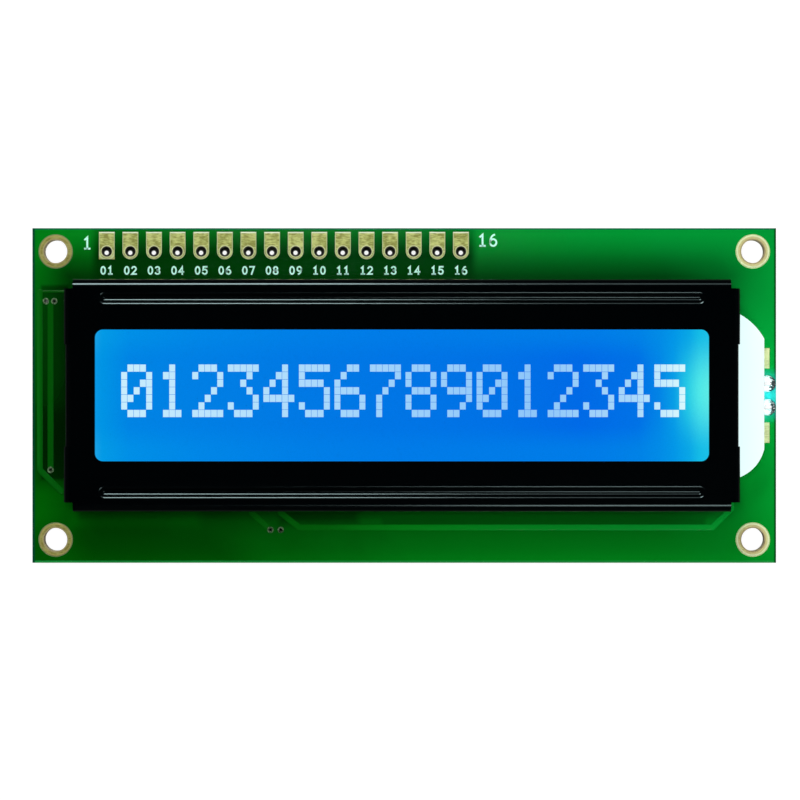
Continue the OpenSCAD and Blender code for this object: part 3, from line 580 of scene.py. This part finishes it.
dress(material("white_polyester_film", white_polyester),
      "reflector_film", "diffuser_film", "lamp_body")
dress(material("white_film_lit_from_below", lit_film), "ear_film")
dress(material("clear_acrylic_moulded", clear_acrylic), "light_guide")
dress(material("yellow_phosphor_cast", phosphor), "lamp_chips")


# ---------------------------------------------------------------- glass cell
# Two sheets of float glass sealed with epoxy round a layer of liquid crystal, with a
# dark polarizing film below. Only the edges show, in the gap under the bezel's ends.

GLASS_RIPPLE = 5 * MM
SEAL_GRAIN = 0.1 * MM
FILM_DRAW = 2 * MM
CRYSTAL_FLOW = 4 * MM


def float_glass(tree, place):
    ripple = add(tree, "TexNoise", {"Vector": place, "Scale": 1 / GLASS_RIPPLE, "Detail": 1.0})
    colour = add(tree, "ValToRGB", {"Fac": ripple}, stops=[(0.3, "#b8dcd8"), (0.7, "#cfeeea")])
    return {"Base Color": colour, "Roughness": 0.03, "IOR": 1.52, "Transmission Weight": 0.8}


def epoxy_seal(tree, place):
    filler = add(tree, "TexNoise", {"Vector": place, "Scale": 1 / SEAL_GRAIN, "Detail": 2.0})
    colour = add(tree, "ValToRGB", {"Fac": filler}, stops=[(0.3, "#4c4e4e"), (0.7, "#666868")])
    return {"Base Color": colour, "Roughness": 0.6, "IOR": 1.5}


def dark_film(tree, place):
    draw = add(tree, "TexNoise", {"Vector": place, "Scale": 1 / FILM_DRAW, "Detail": 1.0})
    colour = add(tree, "ValToRGB", {"Fac": draw}, stops=[(0.3, "#141a44"), (0.7, "#1b2358")])
    return {"Base Color": colour, "Roughness": 0.25, "IOR": 1.5}


def crystal_layer(tree, place):
    flow = add(tree, "TexNoise", {"Vector": place, "Scale": 1 / CRYSTAL_FLOW, "Detail": 1.0})
    colour = add(tree, "ValToRGB", {"Fac": flow}, stops=[(0.3, "#0048c8"), (0.7, "#0660dc")])
    return {"Base Color": colour, "Roughness": 0.1, "IOR": 1.6}


dress(material("float_glass_polished", float_glass), "rear_glass", "front_glass")
dress(material("grey_epoxy_seal", epoxy_seal), "cell_seal", "port_plug")
dress(material("polarizing_film_dark", dark_film), "rear_polarizer")
dress(material("liquid_crystal_layer", crystal_layer), "liquid_crystal")


# ---------------------------------------------------------------- display face
# The front polarizing film, smooth plastic that shows the crystal's blue. It is lit
# through the cell from the right, so it runs from sky blue at the left through deeper
# blue to a pale glow in the middle of the right end.

FACE_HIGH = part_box("front_polarizer")[1]
FRAME_END = 3.35 * MM
WINDOW_LEFT = BEZEL_LOW.x + FRAME_END
WINDOW_RIGHT = BEZEL_HIGH.x - FRAME_END
GLOW_Y = 0.36 * MM
GLOW_FADE = 6.4 * MM
SPACER = 0.15 * MM


def lit_blue(tree, place):
    x, y, z = add(tree, "SeparateXYZ", {"Vector": place}, output=None).outputs
    along = add(tree, "MapRange", {"Value": x, "From Min": WINDOW_LEFT,
                                   "From Max": WINDOW_RIGHT})
    rim = add(tree, "ValToRGB", {"Fac": along}, stops=[
        (0.0, "#1ba2e6"), (0.01, "#039ae5"), (0.055, "#008fe6"), (0.17, "#0086e6"),
        (0.33, "#007fe6"), (0.5, "#007be7"), (0.82, "#007ce7"), (0.887, "#0082e6"),
        (0.92, "#018be6"), (0.944, "#0296e7"), (0.969, "#08a7e6"), (0.985, "#14bbe6"),
        (1.0, "#1cc0e8")])
    middle = add(tree, "ValToRGB", {"Fac": along}, stops=[
        (0.0, "#0a98e6"), (0.01, "#0094e4"), (0.055, "#0084e4"), (0.17, "#007fe4"),
        (0.33, "#0079e4"), (0.5, "#0075e5"), (0.66, "#0071e5"), (0.79, "#006ae6"),
        (0.887, "#0072e6"), (0.92, "#0284e6"), (0.944, "#089ee6"), (0.966, "#26cce5"),
        (0.985, "#4fe8e8"), (1.0, "#5cece6")])
    # the middle's colours fade into the rim's up and down, more softly in the glow
    off = from_line(tree, y, GLOW_Y)
    core = add(tree, "MapRange", {"Value": along, "From Min": 0.88, "From Max": 0.96,
                                  "To Min": GLOW_FADE / 2, "To Max": 0.0})
    lit = coat(tree, rim, middle, off, GLOW_FADE, core, ease="SMOOTHSTEP")
    # spacers between the sheets of glass make faint specks
    specks = add(tree, "TexNoise", {"Vector": place, "Scale": 1 / SPACER, "Detail": 1.0})
    value = add(tree, "MapRange", {"Value": specks, "From Min": 0.2, "From Max": 0.8,
                                   "To Min": 0.97, "To Max": 1.03})
    glow = add(tree, "Mix", {"Factor": 1.0, "A": lit, "B": value}, output="Result",
               data_type="RGBA", blend_type="MULTIPLY")
    return {"Base Color": "#000204", "Roughness": 0.12, "IOR": 1.5,
            "Emission Color": glow, "Emission Strength": 1.0}


dress(material("polarizing_film_lit_blue", lit_blue), "front_polarizer")


# ---------------------------------------------------------------- lit dots
# Sixteen characters of five by seven dots, which show plain digits. A dot is where the
# crystal lets the lamp's light through, so it is near white and takes on the glow.

DOT_ROWS = {
    "0": "01110 10001 10011 10101 11001 10001 01110",
    "1": "00100 01100 00100 00100 00100 00100 01110",
    "2": "01110 10001 00001 00010 00100 01000 11111",
    "3": "11111 00010 00100 00010 00001 10001 01110",
    "4": "00010 00110 01010 10010 11111 00010 00010",
    "5": "11111 10000 11110 00001 00001 10001 01110",
    "6": "00110 01000 10000 11110 10001 10001 01110",
    "7": "11111 00001 00010 00100 01000 01000 01000",
    "8": "01110 10001 10001 01110 10001 10001 01110",
    "9": "01110 10001 10001 01111 00001 00010 01100",
}
SHOWN = "0123456789012345"
DOT_W, DOT_H = 0.62 * MM, 0.76 * MM
DOT_PITCH_X, DOT_PITCH_Y = 0.66 * MM, 0.80 * MM
CHARACTER_PITCH = 3.755 * MM
DOT_LEFT, DOT_TOP = -29.91 * MM, 3.27 * MM
DOT_RISE = 0.015 * MM


def dots(text):
    """One thin box per lit dot: column c, row r of character k has its upper left corner at
    x = left + character pitch k + pitch c, y = top - pitch r."""
    lit = np.array([[[int(v) for v in row] for row in DOT_ROWS[d].split()] for d in text])
    k, r, c = np.nonzero(lit)
    x = DOT_LEFT + k * CHARACTER_PITCH + c * DOT_PITCH_X
    y = DOT_TOP - r * DOT_PITCH_Y
    low, high = FACE_HIGH.z, FACE_HIGH.z + DOT_RISE
    corner = np.array([[0, -1, low], [1, -1, low], [1, 0, low], [0, 0, low],
                       [0, -1, high], [1, -1, high], [1, 0, high], [0, 0, high]])
    points = np.stack([x[:, None] + corner[:, 0] * DOT_W, y[:, None] + corner[:, 1] * DOT_H,
                       np.broadcast_to(corner[:, 2], (len(x), 8))], -1)
    box = np.array([[0, 3, 2, 1], [4, 5, 6, 7], [0, 1, 5, 4],
                    [1, 2, 6, 5], [2, 3, 7, 6], [3, 0, 4, 7]])
    faces = box[None] + 8 * np.arange(len(x))[:, None, None]
    return points.reshape(-1, 3), faces.reshape(-1, 4)


def lit_white(tree, place):
    across = add(tree, "SeparateXYZ", {"Vector": place}, output="X")
    along = add(tree, "MapRange", {"Value": across, "From Min": WINDOW_LEFT,
                                   "From Max": WINDOW_RIGHT})
    white = add(tree, "ValToRGB", {"Fac": along}, stops=[
        (0.0, "#ccf0fe"), (0.25, "#b4e0fc"), (0.5, "#9cd0fb"), (0.72, "#8ec6f9"),
        (0.88, "#a8d8fa"), (0.96, "#d8f8fe"), (1.0, "#defefe")])
    return {"Base Color": "#000204", "Roughness": 0.12, "IOR": 1.5,
            "Emission Color": white, "Emission Strength": 1.0}


build("lit_dots", [dots(SHOWN)], material("crystal_lit_white", lit_white))


# ---------------------------------------------------------------- zebra strips
# Silicone rubber in thin layers, conducting black and insulating white by turns. The
# bezel squeezes them between the board and the glass.

RUBBER_LAYER = 0.628 * MM  # the real one is 0.05 mm, too fine to show
HALF_WAVE = np.pi / 20  # width of a light or dark band of the wave texture at a scale of 1


def layered_rubber(tree, place):
    layers = add(tree, "TexWave", {
        "Vector": place, "Scale": HALF_WAVE / RUBBER_LAYER, "Distortion": 0.0},
        output="Fac", bands_direction="X")
    colour = add(tree, "ValToRGB", {"Fac": layers}, stops=[(0.4, "#15181b"), (0.6, "#8a949c")])
    return {"Base Color": colour, "Roughness": 0.8, "IOR": 1.45}


dress(material("silicone_rubber_layered", layered_rubber),
      "upper_zebra_strip", "lower_zebra_strip")


# ---------------------------------------------------------------- bezel
# Steel sheet, punched, pressed and folded, then stove enamelled black. The enamel is
# glossy and flows over the folds, so long thin lights run along every bend.

ENAMEL_PEEL = 0.6 * MM
DUST = 0.25 * MM


def black_enamel(tree, place):
    # orange peel, and a few specks of dust
    peel = add(tree, "TexNoise", {"Vector": place, "Scale": 1 / ENAMEL_PEEL, "Detail": 2.0})
    bump = add(tree, "Bump", {"Height": peel, "Strength": 0.08, "Distance": 0.03 * MM})
    dust = add(tree, "TexNoise", {"Vector": place, "Scale": 1 / DUST, "Detail": 2.0})
    colour = add(tree, "ValToRGB", {"Fac": dust}, stops=[(0.72, "#000102"), (0.85, "#101416")])
    return {"Base Color": colour, "Roughness": 0.15, "IOR": 1.5, "Specular Tint": "#dcffff",
            "Normal": bump}


dress(material("black_enamel_on_steel", black_enamel), "bezel")


# ---------------------------------------------------------------- chip covers
# Black epoxy poured over the bare chips behind the board. It sets glossy with a faintly
# wrinkled skin.

EPOXY_WRINKLE = 1.2 * MM


def poured_epoxy(tree, place):
    skin = add(tree, "TexNoise", {"Vector": place, "Scale": 1 / EPOXY_WRINKLE, "Detail": 3.0})
    bump = add(tree, "Bump", {"Height": skin, "Strength": 0.25, "Distance": 0.1 * MM})
    colour = add(tree, "ValToRGB", {"Fac": skin}, stops=[(0.3, "#0b0b0c"), (0.7, "#151516")])
    return {"Base Color": colour, "Roughness": 0.22, "IOR": 1.55, "Normal": bump}


dress(material("black_epoxy_poured", poured_epoxy), "controller_cover", "driver_cover")


# ---------------------------------------------------------------- chip components
# Small resistors and capacitors soldered behind the board: black glaze on white ceramic,
# and brown fired ceramic.

GLAZE_SPECKLE = 0.15 * MM
CERAMIC_SPECKLE = 0.12 * MM


def resistor_glaze(tree, place):
    speckle = add(tree, "TexNoise", {"Vector": place, "Scale": 1 / GLAZE_SPECKLE, "Detail": 2.0})
    colour = add(tree, "ValToRGB", {"Fac": speckle}, stops=[(0.3, "#0e0e10"), (0.7, "#1d1d20")])
    return {"Base Color": colour, "Roughness": 0.3, "IOR": 1.5}


def fired_ceramic(tree, place):
    speckle = add(tree, "TexNoise", {"Vector": place, "Scale": 1 / CERAMIC_SPECKLE,
                                     "Detail": 2.0})
    colour = add(tree, "ValToRGB", {"Fac": speckle}, stops=[(0.3, "#87684a"), (0.7, "#a48360")])
    return {"Base Color": colour, "Roughness": 0.5, "IOR": 1.6}


dress(material("resistor_glaze_printed", resistor_glaze), "resistor_bodies")
dress(material("brown_ceramic_fired", fired_ceramic), "capacitor_bodies")


# ---------------------------------------------------------------- floor, light and camera
# A white table in a dark room. Soft lights hang beyond the pins, before the display,
# overhead and at the right, and only the first two show in the enamel. The camera
# looks straight down.

TABLE_HALF = 2.0
GROUND = min(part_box(name)[0].z for name in cad)
# the camera sees a spot of the table through each pin hole, a little further out than the hole
SPOT_X, SPOT_PITCH = -32.31 * MM, 1.0092 * PIN_PITCH
SPOT_RADIUS = 0.22 * MM
SHADE_FADE = 1.2 * MM
# the painted shadow below the board, as the half sides of two rectangles that cross
SHADE_LONG = (39.4 * MM, 12 * MM)
SHADE_WIDE = (34.5 * MM, 17.3 * MM)


def white_table():
    made = bpy.data.materials.new("white_table")
    made.use_nodes = True
    tree = made.node_tree
    tree.nodes.remove(tree.nodes["Principled BSDF"])
    place = add(tree, "TexCoord", output="Object")
    # painted shadow: the table is dark below the board, except below its corners, where light
    # falls through the mounting holes; a painted spot of light lies below each pin hole
    beyond = add(tree, "Math", {0: outside(tree, place, (0, 0), SHADE_LONG),
                                1: outside(tree, place, (0, 0), SHADE_WIDE)},
                 operation="MINIMUM")
    lit = add(tree, "MapRange", {"Value": beyond, "From Min": -SHADE_FADE * 2 / 3,
                                 "From Max": SHADE_FADE / 3}, interpolation_type="SMOOTHSTEP")
    from_spot = add(tree, "VectorMath", {0: pin_offset(tree, place, SPOT_X, SPOT_PITCH)},
                    operation="LENGTH", output="Value")
    spot = add(tree, "MapRange", {"Value": from_spot, "From Min": SPOT_RADIUS + 0.05 * MM,
                                  "From Max": SPOT_RADIUS - 0.05 * MM})
    lit = add(tree, "Math", {0: lit, 1: spot}, operation="MAXIMUM")
    # it is seen as pure white, and only faintly in mirrors
    rays = add(tree, "LightPath", output=None).outputs
    seen = add(tree, "Math", {0: rays["Is Glossy Ray"], 1: 0.04}, operation="MULTIPLY")
    seen = add(tree, "Math", {0: rays["Is Camera Ray"], 1: seen}, operation="MAXIMUM")
    seen = add(tree, "Math", {0: seen, 1: rays["Is Transmission Ray"]}, operation="MAXIMUM")
    seen = add(tree, "Math", {0: seen, 1: lit}, operation="MULTIPLY")
    share = add(tree, "Math", {0: seen, 1: 0.86}, operation="MULTIPLY")
    # the rest is cloth, dull in mirrors and a dark sheet in the painted shadow below the board
    grey = add(tree, "Mix", {"Factor": rays["Is Glossy Ray"], "A": "#f4f4f4", "B": "#242424"},
               output="Result", data_type="RGBA")
    grey = add(tree, "Mix", {"Factor": lit, "A": "#383838", "B": grey}, output="Result",
               data_type="RGBA")
    cloth = add(tree, "BsdfDiffuse", {"Color": grey})
    white = add(tree, "Emission", {"Color": "#ffffff", "Strength": 1.12})
    both = add(tree, "MixShader", {0: share, 1: cloth, 2: white})
    fill(tree, tree.nodes["Material Output"], {"Surface": both})
    return made


floor_mesh = bpy.data.meshes.new("table_top")
floor_mesh.from_pydata([(x * TABLE_HALF, y * TABLE_HALF, GROUND)
                        for x, y in ((-1, -1), (1, -1), (1, 1), (-1, 1))], [], [(0, 1, 2, 3)])
floor_mesh.materials.append(white_table())
floor = bpy.data.objects.new("table_top", floor_mesh)
bpy.context.scene.collection.objects.link(floor)


def soft_light(name, place, size, radiance, mirrored, towards=(0, 0, 0)):
    """A rectangular light that faces a point. Its power is its radiance times its area
    times pi. It may be left out of reflections."""
    lamp = bpy.data.lights.new(name, "AREA")
    lamp.shape, lamp.size, lamp.size_y = "RECTANGLE", size[0], size[1]
    lamp.energy = radiance * np.pi * size[0] * size[1]
    made = bpy.data.objects.new(name, lamp)
    made.location = place
    made.rotation_mode = "QUATERNION"
    made.rotation_quaternion = (Vector(towards) - Vector(place)).to_track_quat("-Z", "Y")
    made.visible_glossy = mirrored
    bpy.context.scene.collection.objects.link(made)
    return lamp


soft_light("light_beyond_pins_left", (-0.075, 0.27, 0.32), (0.16, 0.11), 16.0, True)
soft_light("light_beyond_pins_right", (0.085, 0.27, 0.32), (0.14, 0.11), 1.6, True)
soft_light("light_before_display", (0.06, -0.16, 0.39), (0.10, 0.09), 5.0, True)
soft_light("light_before_display_fill", (0.06, -0.16, 0.391), (0.10, 0.09), 8.0, False)
soft_light("light_overhead", (-0.02, 0.04, 0.42), (0.07, 0.07), 35.0, False)
soft_light("light_at_right", (0.16, 0.01, 0.13), (0.10, 0.10), 3.5, False)
# cyan light that leaks from the lamp onto its joints
LEAK_X = EAR_HIGH.x + 0.6 * MM
leak = soft_light("light_leaking_from_lamp", (LEAK_X, LEAD_Y, 3.6 * MM), (0.5 * MM, 5.5 * MM),
                  11.0, False, towards=(LEAK_X, LEAD_Y, 0))
leak.color = (0.45, 1.0, 1.0)

world = bpy.data.worlds.new("dark_room")
world.use_nodes = True
bpy.context.scene.world = world
tree = world.node_tree
height = add(tree, "SeparateXYZ", {"Vector": add(tree, "TexCoord", output="Generated")},
             output="Z")
level = add(tree, "ValToRGB", {"Fac": height}, stops=[
    (0.0, "#1e1e1e"), (0.3, "#242424"), (0.6, "#303030"), (0.85, "#101010"), (1.0, "#020202")])
fill(tree, tree.nodes["Background"], {"Color": level, "Strength": 1.0})

CAMERA_HEIGHT = 357 * MM
CAMERA_X, CAMERA_Y = -0.456 * MM, -0.484 * MM
VIEW_HALF = 43.035 * MM
SENSOR = 36
camera_data = bpy.data.cameras.new("camera")
camera_data.sensor_width = SENSOR
camera_data.lens = SENSOR / 2 * CAMERA_HEIGHT / VIEW_HALF
camera_data.clip_start, camera_data.clip_end = 0.01, 10
camera = bpy.data.objects.new("camera", camera_data)
camera.location = (CAMERA_X, CAMERA_Y, BOARD_HIGH.z + CAMERA_HEIGHT)
bpy.context.scene.collection.objects.link(camera)
bpy.context.scene.camera = camera
bpy.context.scene.view_settings.view_transform = "Standard"
